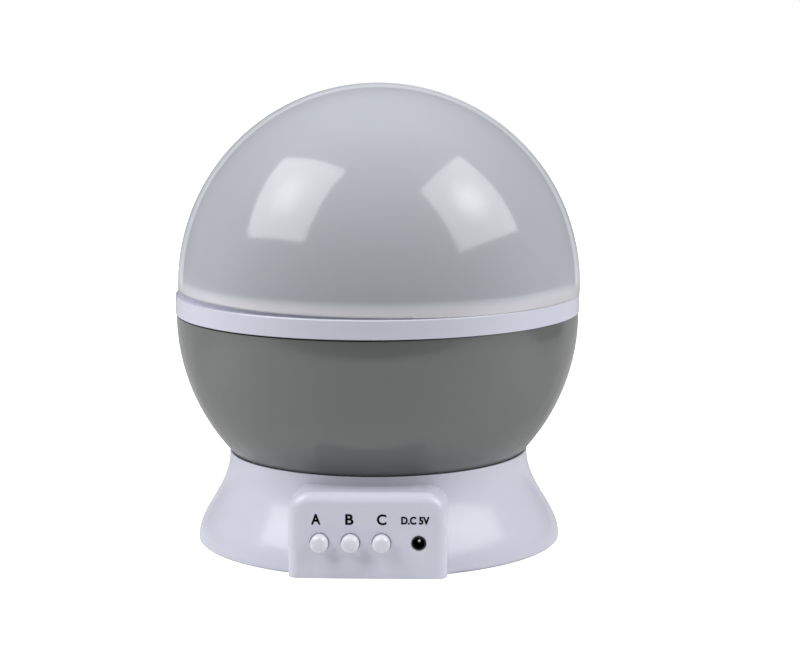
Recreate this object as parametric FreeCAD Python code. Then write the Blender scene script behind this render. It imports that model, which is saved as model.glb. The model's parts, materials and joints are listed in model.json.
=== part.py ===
"""Star projector night lamp: a milky dome over a pierced star mask, on a bowl that turns on a flared base.

Millimetres, +Z up. The origin is on the table, under the axis that the globe turns about.
The control box faces -Y. One STEP file is written for each sub-part, named after it.
"""

import FreeCAD, Part
import math
import os

from FreeCAD import Rotation, Vector

# ---- Driving dimensions -------------------------------------------------------------------------

# Clearances, named once and used by both sides of every fit
slip_gap = 0.3           # between pieces that move past each other
running_gap = 0.05       # radial, shaft in bearing
snug_gap = 0.05          # radial, screw or pin in its hole
seat_gap = 0.1           # behind a flange that stops on a wall

# Base shell: a flared skirt with a dished top and a control box in front
rim_bore = 45.61         # radius of the mouth that the bowl sits in
mouth_gap = 0.2          # between the bowl and that mouth
rim_lip = 0.55           # thickness of the lip at its very top
base_height = 28.1       # table to the top of the lip
foot_radius = 56.2       # widest radius, near the table
edge_z = 0.2             # the shell's lower edge stands this far off the table
edge_round = 0.6
upper_handle = 12.4      # length of the flare's upper tangent
lower_handle = 8.4       # length of the flare's lower tangent
base_wall = 2.0
web_z = 18.0             # underside of the floor of the dish
web_thickness = 1.6

# Control box on the front of the base
box_step = 0.8           # how far its face stands out beyond the foot
box_width = 46.6
box_top = 25.4
box_corner = 6.5         # the two upper corners, seen from the front
box_edge_round = 3.2     # round between the front face and the sides
box_depth = 30.0         # how far the box runs back into the skirt

# Buttons and power socket, in a row on the control box
control_z = 10.9
row_pitches = 5.15       # the box's width, in pitches of the buttons
row_shift = 0.4          # from the box's middle to the row's
button_count = 3
button_radius = 2.7
button_proud = 3.4
button_crown = 1.8       # round on the cap's front edge
button_stop = 0.8        # how far the flange laps past its hole
button_flange = 1.0      # its thickness
button_travel = 1.2
button_hole_gap = 0.2
plunger_radius = 1.6
switch_side = 6.0
switch_depth = 3.8
switch_floor = 0.6       # closed back of a switch's well
socket_step = 1.2        # from the last button to the socket, in pitches
socket_hole_radius = 2.1
socket_mouth_round = 0.5
jack_side = 6.6
jack_length = 10.4
jack_bore_radius = 1.8
jack_bore_depth = 9.0
jack_pin_radius = 0.65
jack_tail_radius = 0.45
jack_pin_setback = 3.3   # from the box's front face to the pin's tip

# Control board, upright behind the front wall
board_gap = 6.5          # from the front wall to the board
board_thickness = 1.6
board_height = 14.3
guide_thickness = 1.0
guide_reach = 2.0
chip_size = (8.0, 5.0, 1.6)
chip_legs = 4            # along each long side
chip_leg = (0.5, 1.0)    # width and thickness together, and reach

# Bottom cover, with the battery bay in it
cover_z = 1.4            # the cover's underside, off the table
cover_thickness = 1.8
cover_side_gap = 0.25
bay_wall = 1.4
bay_ceiling = 1.2
bay_front = -13.0        # inner face of the bay's front end
bay_slack = 0.2          # room round the cells
door_thickness = 1.5
door_edge_gap = 0.35
door_ledge = 2.2         # how far the door laps past the bay's mouth
tongue_width = 7.0
tongue_length = 1.6
tongue_thickness = 0.7
tongue_relief = 1.3      # room behind the tongue, for the door to tip
tongue_x = 12.0
lip_round = 0.3          # round edge that a tongue tips over
latch_width = 11.0
latch_slot = 1.0
latch_length = 6.0
grip_rib = 0.35          # height
grip_pitch = 1.6
grip_width = 0.8
grip_count = 5
grip_start = 4.0         # behind the latch's slots

# AAA cells
cell_radius = 5.25
cell_length = 43.3       # without the positive nub
nub_radius = 1.9
nub_length = 1.2
cell_count = 4
contact_thickness = 0.5
contact_side = 8.4
spring_length = 5.0
spring_wire = 0.35       # radius
spring_radius = 2.6
spring_turns = 3

# Rubber feet
foot_pad_radius = 4.5
foot_pad_sink = 0.6      # let into the cover's underside
foot_pad_round = 0.4
foot_pad_margin = 7.45   # from the cover's edge to a pad's middle
foot_pad_count = 4

# Screws
screw_radius = 1.1
screw_head_radius = 2.2
screw_head = 1.5
screw_bite = 6.0
boss_radius = 3.1
side_screw_margin = 15.45   # from the cover's edge to its screws at the sides
side_screw_y = 10.0
rear_screw_margin = 8.95    # and to the one at the back
cross_width = 0.7
cross_depth = 0.7

# Spindle, bearing and lamp post
spindle_radius = 9.0
spindle_bore = 6.2
spindle_height = 17.4    # above the floor of the dish
washer_thickness = 0.8
washer_radius = 12.5
bush_wall = 1.5
hub_wall = 2.4
hub_height = 13.6        # from the thrust washer up
gusset_count = 6
gusset_reach = 6.5       # along the floor, from the hub
gusset_height = 6.0
gusset_thickness = 1.2
clip_thickness = 1.2
clip_radius = 12.0
clip_groove = 0.8        # radial depth of the spindle's groove
clip_opening = 12.0      # width of the clip's open side
post_bore = 4.4
post_sink = 12.0         # how deep the lamp post plugs into the spindle
post_flange_radius = 13.0
post_flange = 1.5
post_taper = 4.0         # height of the post's two tapers
post_edge = 1.5          # how far the flange's edge overhangs its taper

# Milky dome
dome_radius = 62.0
dome_wall = 1.6
dome_rise = 2.1          # its centre, above its seat

# Lower bowl, as wide as the dome
bowl_wall = 2.0
bowl_floor_z = 24.2      # underside of the bowl's flat floor
bowl_floor = 2.0
bowl_rise = 0.5          # the bowl's edge, above its widest level
tie_margin = 0.4         # from the ring's flange edge to a tie boss
stud_cap = 1.0           # closed top of a boss over a gear screw

# Middle ring
seam_gap = 0.4           # shadow line between bowl and ring
ring_step = 0.3          # how far the ring stands out past the dome
ring_height = 5.9
ring_round = 0.5
spigot_depth = 2.2       # below the seam, inside the bowl
collar_height = 4.0      # above the dome's seat
collar_wall = 1.4
flange_drop = 2.8        # from the dome's seat to the flange's top face
flange_thickness = 1.6
flange_width = 9.6
nib_width = 1.6
nib_height = 3.0
nib_proud = 0.8
nib_margin = 0.2         # below the collar's edge
nib_angles = (280.6, 40.6, 160.6)

# Star mask
mask_gap = 0.8           # from the dome, at its widest
mask_wall = 1.2
mask_lower = 2.1         # its centre, below the dome's
mask_skirt = 4.8         # below the collar's edge
mask_skirt_wall = 1.2
cutout_count = 42
cutout_top = 14.0        # polar angle of the first cut-out, degrees
cutout_bottom = 80.0     # and of the last
star_sizes = (3.2, 2.2, 2.7)
star_waist = 0.45        # inner to outer radius of a star
star_points = 5
moon_every = 7           # one cut-out in this many is a crescent
moon_radius = 4.0
moon_bite = 0.45         # how far the crescent's bite is shifted, in radii
golden_angle = 137.508

# Reflector plate and lamps
plate_thickness = 1.4
plate_mouth = 15.5
plate_lip = 1.2
plate_lip_height = 1.6
lamp_board_radius = 13.6
lamp_board = 1.6
lamp_board_drop = 2.6    # from the reflector plate's underside down to the board's face
bezel_radius = 14.6
bezel_thickness = 1.6
led_radius = 2.5
led_rim_radius = 2.9
led_rim = 1.0
led_length = 8.6
led_reach = 7.6          # from the centre lamp to the colour lamps

# Turntable gear and pinion
gear_module = 0.8
gear_teeth = 76
pinion_teeth = 16
pressure_angle = 20.0
tooth_thinning = 0.07    # taken off each flank for backlash
gear_face = 3.4
pinion_face = 3.3
pinion_angle = 230.0     # where the pinion stands round the axis, degrees
pinion_margin = 0.5      # between the pinion and the bowl's floor
gear_hole_radius = 5.5
gear_hole_reach = 21.5   # from the axis to its holes and screws

# Gear motor
motor_radius = 9.5
motor_height = 11.5
motor_plate = 1.0
motor_ear_reach = 14.0
motor_ear_radius = 3.4
motor_round = 1.0
motor_pad = (6.0, 0.8, 5.6)      # terminal pad on the can: width, depth, height
motor_pad_rise = 1.5     # above the can's lower end
motor_pad_shift = 5.0    # sideways, to clear the corner of the box
motor_neck_radius = 3.5
motor_neck = 1.4
shaft_radius = 1.5
shaft_sink = 6.0

# Leads inside the housing
lead_radius = 0.7
lead_spacing = 1.8
lead_swing = 2.0         # how far a lead wanders from its straight way

# ---- Derived places -----------------------------------------------------------------------------

bowl_radius = dome_radius
bowl_centre_z = base_height + math.sqrt((bowl_radius + mouth_gap) ** 2 - rim_bore ** 2)
bowl_top_z = bowl_centre_z + bowl_rise
ring_radius = dome_radius + ring_step
ring_bottom_z = bowl_top_z + seam_gap
seat_z = ring_bottom_z + ring_height
dome_centre_z = seat_z + dome_rise
collar_radius = dome_radius - dome_wall - slip_gap - seat_gap
collar_bore = collar_radius - collar_wall
collar_top_z = seat_z + collar_height
flange_bore = collar_bore - flange_width
tie_reach = flange_bore + tie_margin + boss_radius
flange_top_z = seat_z - flange_drop
flange_bottom_z = flange_top_z - flange_thickness
mask_radius = dome_radius - dome_wall - mask_gap
mask_centre_z = dome_centre_z - mask_lower
plate_top_z = flange_top_z + plate_thickness
lamp_face_z = flange_top_z - lamp_board_drop
post_top_z = lamp_face_z - lamp_board
dish_z = web_z + web_thickness
washer_top_z = dish_z + washer_thickness
hub_top_z = washer_top_z + hub_height
bush_bore = spindle_radius + running_gap
bush_radius = bush_bore + bush_wall
hub_radius = bush_radius + hub_wall
clip_z = hub_top_z + slip_gap
gear_bottom_z = bowl_floor_z - gear_face
gear_distance = gear_module * (gear_teeth + pinion_teeth) / 2
pinion_at = Vector(gear_distance * math.cos(math.radians(pinion_angle)),
                   gear_distance * math.sin(math.radians(pinion_angle)), 0)
pinion_z = bowl_floor_z - pinion_margin - pinion_face
button_pitch = box_width / row_pitches
button_x = row_shift - box_width / 2 + button_pitch
button_flange_radius = button_radius + button_hole_gap + button_stop
socket_x = button_x + (button_count - 1 + socket_step) * button_pitch
box_front = foot_radius + box_step
wall_y = -box_front + base_wall
board_y = wall_y + board_gap
board_back = board_y + board_thickness
cover_top_z = cover_z + cover_thickness
cover_radius = foot_radius - base_wall - cover_side_gap
foot_pad_reach = cover_radius - foot_pad_margin
cell_z = cover_z + door_thickness + bay_slack + cell_radius
bay_top_z = cell_z + cell_radius + bay_slack
cell_pitch = 2 * cell_radius + bay_slack
bay_half_width = cell_pitch * cell_count / 2 + bay_slack
bay_length = cell_length + nub_length + spring_length + 2 * contact_thickness
bay_back = bay_front + bay_length
tongue_lip_z = cover_z + door_thickness - tongue_thickness - slip_gap / 2
hinge_y = bay_front - door_ledge - lip_round
hinge_z = tongue_lip_z - lip_round
lead_z = (bay_top_z + bay_ceiling + web_z) / 2
side_screw_reach = cover_radius - side_screw_margin
cover_screw_places = ((side_screw_reach, side_screw_y), (-side_screw_reach, side_screw_y),
                      (0, cover_radius - rear_screw_margin))
motor_plate_z = web_z - motor_plate
motor_bottom_z = motor_plate_z - motor_height
X, Y, Z = Vector(1, 0, 0), Vector(0, 1, 0), Vector(0, 0, 1)
LARGE = 4 * foot_radius   # bigger than anything that a cutting block has to cover


# ---- Small tools --------------------------------------------------------------------------------

def polar(radius, degrees, z=0.0):
    """The point at that radius and angle round the main axis."""
    turn = math.radians(degrees)
    return Vector(radius * math.cos(turn), radius * math.sin(turn), z)


def cylinder(radius, z0, z1, at=Vector()):
    """An upright cylinder between two heights, centred on a point seen from above."""
    return Part.makeCylinder(radius, z1 - z0, Vector(at.x, at.y, z0), Z)


def cylinder_back(radius, y0, y1, x, z):
    """A cylinder that runs backwards, along +Y, between two depths."""
    return Part.makeCylinder(radius, y1 - y0, Vector(x, y0, z), Y)


def block(x0, x1, y0, y1, z0, z1):
    """A block between two corners."""
    return Part.makeBox(x1 - x0, y1 - y0, z1 - z0, Vector(x0, y0, z0))


def tube(outer, inner, z0, z1, at=Vector()):
    """An upright tube."""
    return cylinder(outer, z0, z1, at).cut(cylinder(inner, z0, z1, at))


def revolve(edges):
    """The solid that a closed outline in the XZ plane sweeps round the main axis."""
    face = Part.Face(Part.Wire(Part.__sortEdges__(edges)))
    return face.revolve(Vector(), Z, 360)


def lines(points):
    """Straight edges through (radius, height) points."""
    at = [Vector(r, 0, z) for r, z in points]
    return [Part.LineSegment(a, b).toShape() for a, b in zip(at, at[1:])]


def ball(radius, z):
    """A full ball centred on the axis."""
    return Part.makeSphere(radius, Vector(0, 0, z))


def below(shape, z):
    """The part of a shape under a height."""
    return shape.common(block(-LARGE, LARGE, -LARGE, LARGE, -LARGE, z))


def above(shape, z):
    """The part of a shape over a height."""
    return shape.common(block(-LARGE, LARGE, -LARGE, LARGE, z, LARGE))


def screw(head_z, at, up=True):
    """A pan-head screw with a crossed recess, whose head bears at head_z and whose point goes up or down."""
    way = 1 if up else -1
    head = Part.makeCylinder(screw_head_radius, screw_head, Vector(at.x, at.y, head_z), Z * -way)
    rim = [e for e in head.Edges if abs(e.BoundBox.ZMin - (head_z - way * screw_head)) < 1e-6
           and abs(e.BoundBox.ZMax - e.BoundBox.ZMin) < 1e-6]
    head = head.makeFillet(screw_head * 0.4, rim)
    shank = Part.makeCylinder(screw_radius, screw_bite, Vector(at.x, at.y, head_z), Z * way)
    top = head_z - way * screw_head
    z0, z1 = sorted((top, top + way * cross_depth))
    span = screw_head_radius * 0.62
    bar = block(-span, span, -cross_width / 2, cross_width / 2, z0, z1)
    cross = bar.fuse(bar.rotated(Vector(), Z, 90))
    cross.translate(Vector(at.x, at.y, 0))
    return head.fuse(shank).cut(cross).removeSplitter()


def lead(points, radius):
    """A wire along straight runs that tangent arcs join, each arc as large as its two runs allow."""
    at = [Vector(*p) for p in points]
    edges, start = [], at[0]
    for before, corner, after in zip(at, at[1:], at[2:]):
        run_in, run_out = corner - before, after - corner
        reach = 0.45 * min(run_in.Length, run_out.Length)
        way_in, way_out = Vector(run_in).normalize(), Vector(run_out).normalize()
        turn = way_in.getAngle(way_out)
        if turn < 0.01:
            continue
        bend = reach / math.tan(turn / 2)
        print(f"lead of radius {radius}: bend {bend:.1f} mm")
        enter, leave = corner - way_in * reach, corner + way_out * reach
        centre = corner + (way_out - way_in).normalize() * (bend / math.cos(turn / 2))
        middle = centre + (corner - centre).normalize() * bend
        edges.append(Part.LineSegment(start, enter).toShape())
        edges.append(Part.Arc(enter, middle, leave).toShape())
        start = leave
    edges.append(Part.LineSegment(start, at[-1]).toShape())
    ring = Part.Wire(Part.makeCircle(radius, at[0], at[1] - at[0]))
    return Part.Wire(edges).makePipeShell([ring], True, False)


def screw_hole(z0, z1, at):
    """What is cut away for a screw's shank."""
    return cylinder(screw_radius + snug_gap, z0, z1, at)


def group(shapes):
    """Separate solids that share a node."""
    return Part.makeCompound(list(shapes))


# ---- Base ---------------------------------------------------------------------------------------

def flare_solid(inset):
    """The skirt's solid form, taken in by a wall. Only the outside has a curled lower edge."""
    rim, foot = rim_bore + rim_lip - inset, foot_radius - inset
    foot_z = edge_z + edge_round
    curl = edge_round if inset == 0 else 0
    curve = Part.BezierCurve()
    curve.setPoles([Vector(rim, 0, base_height), Vector(rim, 0, base_height - upper_handle),
                    Vector(foot, 0, foot_z + lower_handle), Vector(foot, 0, foot_z)])
    if curl:
        rounded = Part.Arc(Vector(foot, 0, foot_z),
                           Vector(foot - curl * (1 - math.sqrt(0.5)), 0, foot_z - curl * math.sqrt(0.5)),
                           Vector(foot - curl, 0, edge_z)).toShape()
    else:
        rounded = Part.LineSegment(Vector(foot, 0, foot_z), Vector(foot, 0, edge_z)).toShape()
    rest = lines([(foot - curl, edge_z), (0, edge_z), (0, base_height), (rim, base_height)])
    return revolve([curve.toShape(), rounded] + rest)


def box_solid(inset, back_y):
    """The control box's form: a rounded front outline pushed back into the skirt."""
    half, top, low = box_width / 2 - inset, box_top - inset, edge_z
    big = box_corner - inset
    front = -box_front + inset
    def at(x, z):
        return Vector(x, front, z)
    def corner(cx, cz, radius, start):
        a, m, b = [at(cx + radius * math.cos(math.radians(t)), cz + radius * math.sin(math.radians(t)))
                   for t in (start, start + 45, start + 90)]
        return Part.Arc(a, m, b).toShape()
    edges = [corner(half - big, top - big, big, 0), corner(-half + big, top - big, big, 90)]
    edges += [Part.LineSegment(a, b).toShape() for a, b in (
        (at(half - big, top), at(-half + big, top)), (at(-half, top - big), at(-half, low)),
        (at(-half, low), at(half, low)), (at(half, low), at(half, top - big)))]
    face = Part.Face(Part.Wire(Part.__sortEdges__(edges)))
    solid = face.extrude(Vector(0, back_y - front, 0))
    if inset == 0:
        rim = [e for e in solid.Edges if abs(e.BoundBox.YMax - front) < 1e-6
               and e.BoundBox.ZMax > low + 1e-6]
        solid = solid.makeFillet(box_edge_round, rim)
    return solid


def rounded_mouth(radius, edge_round, x):
    """What is cut away to round the edge of a hole in the box's front face."""
    wide = radius + edge_round
    ring = Part.makeTorus(wide, edge_round, Vector(x, -box_front + edge_round, control_z), Y)
    return cylinder_back(wide, -box_front, -box_front + edge_round, x, control_z).cut(ring)


def boss_places():
    """Where the bottom cover's screws go up into the shell."""
    return [Vector(x, y, 0) for x, y in cover_screw_places]


def motor_ears():
    """Where the motor's two ears are screwed to the floor of the dish."""
    along = polar(motor_ear_reach, pinion_angle + 90)
    return [pinion_at + along, pinion_at - along]


def button_places():
    """The X of each button."""
    return [button_x + i * button_pitch for i in range(button_count)]


def base_shell():
    outer = flare_solid(0)
    hollow = flare_solid(base_wall)
    lower = below(hollow, web_z)
    dish = above(hollow, dish_z)
    box_hollow = box_solid(base_wall, -box_depth).cut(above(outer, web_z))
    shell = outer.fuse(box_solid(0, -box_depth))
    shell = shell.cut([lower, dish, box_hollow, above(ball(bowl_radius + mouth_gap, bowl_centre_z), dish_z)])
    spindle_top = dish_z + spindle_height
    shell = shell.fuse(cylinder(spindle_radius, web_z, spindle_top))
    bosses = [cylinder(boss_radius, cover_top_z, web_z, p) for p in boss_places()]
    posts = [cylinder(boss_radius, web_z, web_z + screw_bite - motor_plate, p) for p in motor_ears()]
    half = box_width / 2 - base_wall
    guides = []
    for side in (-1, 1):
        for y in (board_y - seat_gap - guide_thickness, board_y + board_thickness + seat_gap):
            x0, x1 = sorted((side * half, side * (half - guide_reach)))
            guides.append(block(x0, x1, y, y + guide_thickness, cover_top_z + slip_gap, web_z))
    shell = shell.fuse(bosses + posts + guides)
    cuts = [cylinder(spindle_bore, web_z, spindle_top)]
    groove = tube(spindle_radius + 1, spindle_radius - clip_groove, clip_z, clip_z + clip_thickness)
    cuts.append(groove)
    cuts.append(cylinder(motor_neck_radius + slip_gap, web_z, dish_z, pinion_at))
    cuts += [screw_hole(cover_top_z, cover_top_z + screw_bite, p) for p in boss_places()]
    cuts += [screw_hole(web_z, web_z + screw_bite - motor_plate, p) for p in motor_ears()]
    for x in button_places():
        cuts.append(cylinder_back(button_radius + button_hole_gap, -box_front, wall_y, x, control_z))
    cuts.append(cylinder_back(socket_hole_radius, -box_front, wall_y, socket_x, control_z))
    cuts.append(rounded_mouth(socket_hole_radius, socket_mouth_round, socket_x))
    return shell.cut(cuts).removeSplitter()


def feet_places():
    return [polar(foot_pad_reach, 45 + 360 / foot_pad_count * i) for i in range(foot_pad_count)]


def door_outline(gap):
    """Half width, front and back of the door, or of the recess that it lies in."""
    return (bay_half_width + door_ledge - gap, bay_front - door_ledge + gap, bay_back + door_ledge - gap)


def bottom_cover():
    inner = below(flare_solid(base_wall + cover_side_gap), cover_top_z)
    plate = above(inner, cover_z)
    tabs = box_solid(base_wall + cover_side_gap, -box_depth)
    plate = plate.fuse(below(above(tabs, cover_z), cover_top_z))
    housing = block(-bay_half_width - bay_wall, bay_half_width + bay_wall, bay_front - bay_wall,
                    bay_back + bay_wall, cover_z, bay_top_z + bay_ceiling)
    bay = block(-bay_half_width, bay_half_width, bay_front, bay_back, cover_z, bay_top_z)
    half, front, back = door_outline(0)
    recess = block(-half, half, front, back, cover_z, cover_z + door_thickness)
    shelf = block(-half - bay_wall, half + bay_wall, front - bay_wall, back + bay_wall,
                  cover_z, cover_z + door_thickness + bay_wall)
    shelf = shelf.common(cylinder(cover_radius, cover_z, bay_top_z))
    cuts = [bay, recess]
    for side in (-1, 1):
        x0 = side * tongue_x - tongue_width / 2 - door_edge_gap
        x1 = x0 + tongue_width + 2 * door_edge_gap
        cuts.append(block(x0, x1, front - tongue_length, front + tongue_relief, tongue_lip_z,
                          cover_z + door_thickness + bay_wall))
        bead = Part.makeCylinder(lip_round, x1 - x0, Vector(x0, hinge_y, hinge_z), X)
        cuts.append(block(x0, x1, hinge_y, front, hinge_z, tongue_lip_z).cut(bead))
    cuts += [cylinder(foot_pad_radius, cover_z, cover_z + foot_pad_sink, p) for p in feet_places()]
    for p in boss_places():
        cuts.append(screw_hole(cover_z, cover_top_z, p))
        cuts.append(cylinder(screw_head_radius + snug_gap, cover_z, cover_z + screw_head / 2, p))
    return plate.fuse([housing, shelf]).cut(cuts).removeSplitter()


def battery_door():
    """A lid with two tongues in front and a sprung latch tab behind, with grip ribs across it."""
    half, front, back = door_outline(door_edge_gap)
    lid = block(-half, half, front, back, cover_z, cover_z + door_thickness)
    tongues = []
    for side in (-1, 1):
        x = side * tongue_x
        tongues.append(block(x - tongue_width / 2, x + tongue_width / 2, front - tongue_length, front,
                             cover_z + door_thickness - tongue_thickness, cover_z + door_thickness))
    slots = []
    for side in (-1, 1):
        x = side * latch_width / 2
        slots.append(block(x - latch_slot / 2, x + latch_slot / 2, back - latch_length, back,
                           cover_z, cover_z + door_thickness))
    ribs = []
    for i in range(grip_count):
        y = back - latch_length - grip_start - i * grip_pitch
        ribs.append(block(-latch_width / 2, latch_width / 2, y - grip_width, y, cover_z - grip_rib, cover_z))
    return lid.fuse(tongues + ribs).cut(slots).removeSplitter()


def rubber_feet():
    pads = []
    for p in feet_places():
        pad = cylinder(foot_pad_radius - snug_gap, 0, cover_z + foot_pad_sink, p)
        rim = [e for e in pad.Edges if e.BoundBox.ZMax < 1e-6]
        pads.append(pad.makeFillet(foot_pad_round, rim))
    return group(pads)


def cover_screws():
    return group(screw(cover_z + screw_head / 2, p) for p in boss_places())


def retaining_clip():
    """An open snap ring in the spindle's groove."""
    ring = tube(clip_radius, spindle_radius - clip_groove, clip_z, clip_z + clip_thickness)
    mouth = block(0, clip_radius + 1, -clip_opening / 2, clip_opening / 2, clip_z, clip_z + clip_thickness)
    return ring.cut(mouth)


def thrust_washer():
    return tube(washer_radius, spindle_radius + snug_gap, dish_z, washer_top_z)


def lamp_post():
    """The hollow post that plugs into the spindle and carries the lamps."""
    spindle_top = dish_z + spindle_height
    foot_z = spindle_top - post_sink
    flange_z = post_top_z - post_flange
    outline = [(post_bore, foot_z), (spindle_bore, foot_z), (spindle_bore, spindle_top),
               ((spindle_bore + spindle_radius) / 2, spindle_top), (spindle_bore, spindle_top + post_taper),
               (spindle_bore, flange_z - post_taper), (post_flange_radius - post_edge, flange_z),
               (post_flange_radius, flange_z), (post_flange_radius, post_top_z), (post_bore, post_top_z),
               (post_bore, foot_z)]
    return revolve(lines(outline))


# ---- Electrics ----------------------------------------------------------------------------------

def control_board():
    half = box_width / 2 - base_wall - slip_gap
    board = block(-half, half, board_y, board_y + board_thickness, cover_top_z, cover_top_z + board_height)
    notch = block(socket_x - jack_side / 2, socket_x + jack_side / 2, board_y,
                  board_y + board_thickness, cover_top_z, control_z + jack_side / 2)
    return board.cut(notch)


def control_chip():
    width, height, depth = chip_size
    leg, reach = chip_leg
    y = board_back
    x, z0, z1 = button_x + button_pitch, control_z - height / 2, control_z + height / 2
    body = block(x - width / 2, x + width / 2, y, y + depth, z0, z1)
    legs = []
    for i in range(chip_legs):
        leg_x = x - width / 2 + (i + 0.5) * width / chip_legs
        legs.append(block(leg_x - leg / 2, leg_x + leg / 2, y, y + leg, z0 - reach, z1 + reach))
    return body.fuse(legs)


def push_switch(x):
    half, front = switch_side / 2, board_y - switch_depth
    body = block(x - half, x + half, front, board_y, control_z - half, control_z + half)
    return body.cut(cylinder_back(plunger_radius + snug_gap, front, board_y - switch_floor, x, control_z))


def button_cap(x):
    """A crowned cap through the front wall, with a flange behind that stops it."""
    front = -box_front - button_proud
    back = wall_y + seat_gap + button_flange
    head = cylinder_back(button_radius, front, back, x, control_z)
    rim = [e for e in head.Edges if abs(e.BoundBox.YMax - front) < 1e-6]
    head = head.makeFillet(button_crown, rim)
    flange = cylinder_back(button_flange_radius, wall_y + seat_gap, back, x, control_z)
    return head.fuse(flange).removeSplitter()


def switch_plunger(x):
    y = wall_y + seat_gap + button_flange
    return cylinder_back(plunger_radius, y, board_y - switch_floor - button_travel - slip_gap, x, control_z)


def dc_jack():
    y = wall_y + seat_gap
    half = jack_side / 2
    body = block(socket_x - half, socket_x + half, y, y + jack_length, control_z - half, control_z + half)
    bore = cylinder_back(jack_bore_radius, y, y + jack_bore_depth, socket_x, control_z)
    seat = cylinder_back(jack_tail_radius, y + jack_bore_depth, y + jack_length, socket_x, control_z)
    return body.cut([bore, seat])


def dc_jack_pin():
    tip = -box_front + jack_pin_setback
    root = wall_y + seat_gap + jack_bore_depth
    pin = cylinder_back(jack_pin_radius, tip, root, socket_x, control_z)
    rim = [e for e in pin.Edges if abs(e.BoundBox.YMax - tip) < 1e-6]
    pin = pin.makeFillet(jack_pin_radius * 0.5, rim)
    tail = cylinder_back(jack_tail_radius, root, wall_y + seat_gap + jack_length, socket_x, control_z)
    return pin.fuse(tail)


def cell_places():
    """(X, sign) of each cell. Sign +1 has its positive nub to the back."""
    return [((i - (cell_count - 1) / 2) * cell_pitch, 1 if i % 2 == 0 else -1) for i in range(cell_count)]


def aaa_cell(x, sign):
    """A dry cell against the flat contact at its positive end."""
    nub_end = bay_back - contact_thickness if sign > 0 else bay_front + contact_thickness
    shoulder = nub_end - sign * nub_length
    base = shoulder - sign * cell_length
    y0, y1 = sorted((base, shoulder))
    can = cylinder_back(cell_radius, y0, y1, x, cell_z)
    can = can.makeFillet(0.4, [e for e in can.Edges if e.BoundBox.YLength < 1e-6])
    y0, y1 = sorted((shoulder, nub_end))
    return can.fuse(cylinder_back(nub_radius, y0, y1, x, cell_z))


def battery_springs():
    """One coil spring for each cell, at its negative end."""
    springs = []
    rise = spring_length - 2 * spring_wire
    for x, sign in cell_places():
        coil = Part.makeHelix(rise / spring_turns, rise, spring_radius)
        ring = Part.Wire(Part.makeCircle(spring_wire, Vector(spring_radius, 0, 0), Y))
        spring = Part.Wire(coil.Edges).makePipeShell([ring], True, True)
        spring.rotate(Vector(), X, -90 if sign > 0 else 90)
        inset = contact_thickness + spring_wire
        spring.translate(Vector(x, bay_front + inset if sign > 0 else bay_back - inset, cell_z))
        springs.append(spring)
    return group(springs)


def battery_contacts():
    """Plates at both ends of the bay that the cells and springs bear on."""
    plates = []
    half = contact_side / 2
    for x, _ in cell_places():
        for y in (bay_front, bay_back - contact_thickness):
            plates.append(block(x - half, x + half, y, y + contact_thickness, cell_z - half, cell_z + half))
    return group(plates)


def gear_motor():
    """A round gear motor with a two-eared plate, hung from the floor of the dish."""
    body = cylinder(motor_radius, motor_bottom_z, motor_plate_z, pinion_at)
    rim = [e for e in body.Edges if e.BoundBox.ZMax < motor_bottom_z + 1e-6]
    body = body.makeFillet(motor_round, rim)
    ears = [cylinder(motor_ear_radius, motor_plate_z, web_z, p) for p in motor_ears()]
    bridge = block(-motor_ear_reach, motor_ear_reach, -motor_ear_radius, motor_ear_radius,
                   motor_plate_z, web_z)
    bridge.rotate(Vector(), Z, pinion_angle + 90)
    bridge.translate(pinion_at)
    disc = cylinder(motor_radius, motor_plate_z, web_z, pinion_at)
    neck = cylinder(motor_neck_radius, web_z, web_z + motor_neck, pinion_at)
    width, depth, height = motor_pad
    x, y, pad_z = pinion_at.x + motor_pad_shift, pinion_at.y, motor_bottom_z + motor_pad_rise
    pad = block(x - width / 2, x + width / 2, y - motor_radius - depth, y, pad_z, pad_z + height)
    holes = [screw_hole(motor_plate_z, web_z, p) for p in motor_ears()]
    holes.append(cylinder(shaft_radius + running_gap, web_z - shaft_sink - slip_gap, web_z + motor_neck,
                          pinion_at))
    return body.fuse(ears + [bridge, disc, neck, pad]).cut(holes).removeSplitter()


def motor_screws():
    return group(screw(motor_plate_z, p) for p in motor_ears())


def motor_shaft():
    return cylinder(shaft_radius, web_z - shaft_sink, pinion_z + pinion_face, pinion_at)


def led_board():
    return cylinder(lamp_board_radius, post_top_z, lamp_face_z)


def led_places():
    """Centre lamp first, then the colour lamps round it."""
    return [Vector()] + [polar(led_reach, 45 + 90 * i) for i in range(4)]


def led_bezel():
    """The white disc that the lamps stand through."""
    z = lamp_face_z + led_rim
    disc = cylinder(bezel_radius, z, z + bezel_thickness)
    skirt = tube(bezel_radius, lamp_board_radius + snug_gap, post_top_z, z)
    holes = [cylinder(led_radius + snug_gap, z, z + bezel_thickness, p) for p in led_places()]
    return disc.fuse(skirt).cut(holes)


def led(at):
    """A bullet lamp with its rim and round nose."""
    rim = cylinder(led_rim_radius, lamp_face_z, lamp_face_z + led_rim, at)
    stem_top = lamp_face_z + led_length - led_radius
    stem = cylinder(led_radius, lamp_face_z, stem_top, at)
    nose = Part.makeSphere(led_radius, Vector(at.x, at.y, stem_top))
    return rim.fuse([stem, nose]).removeSplitter()


def led_leads():
    """Two wires from the control board under the floor of the dish and up the hollow post."""
    wires = []
    for side in (-1, 1):
        x = side * lead_spacing / 2
        wires.append(lead([(x - lead_swing, board_back, lead_z), (x - lead_swing, board_back * 0.78, lead_z),
                           (x - lead_swing / 3, board_back * 0.5, lead_z), (x, board_back * 0.26, lead_z),
                           (x, 0, lead_z), (x, 0, post_top_z)], lead_radius))
    return group(wires)


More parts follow.
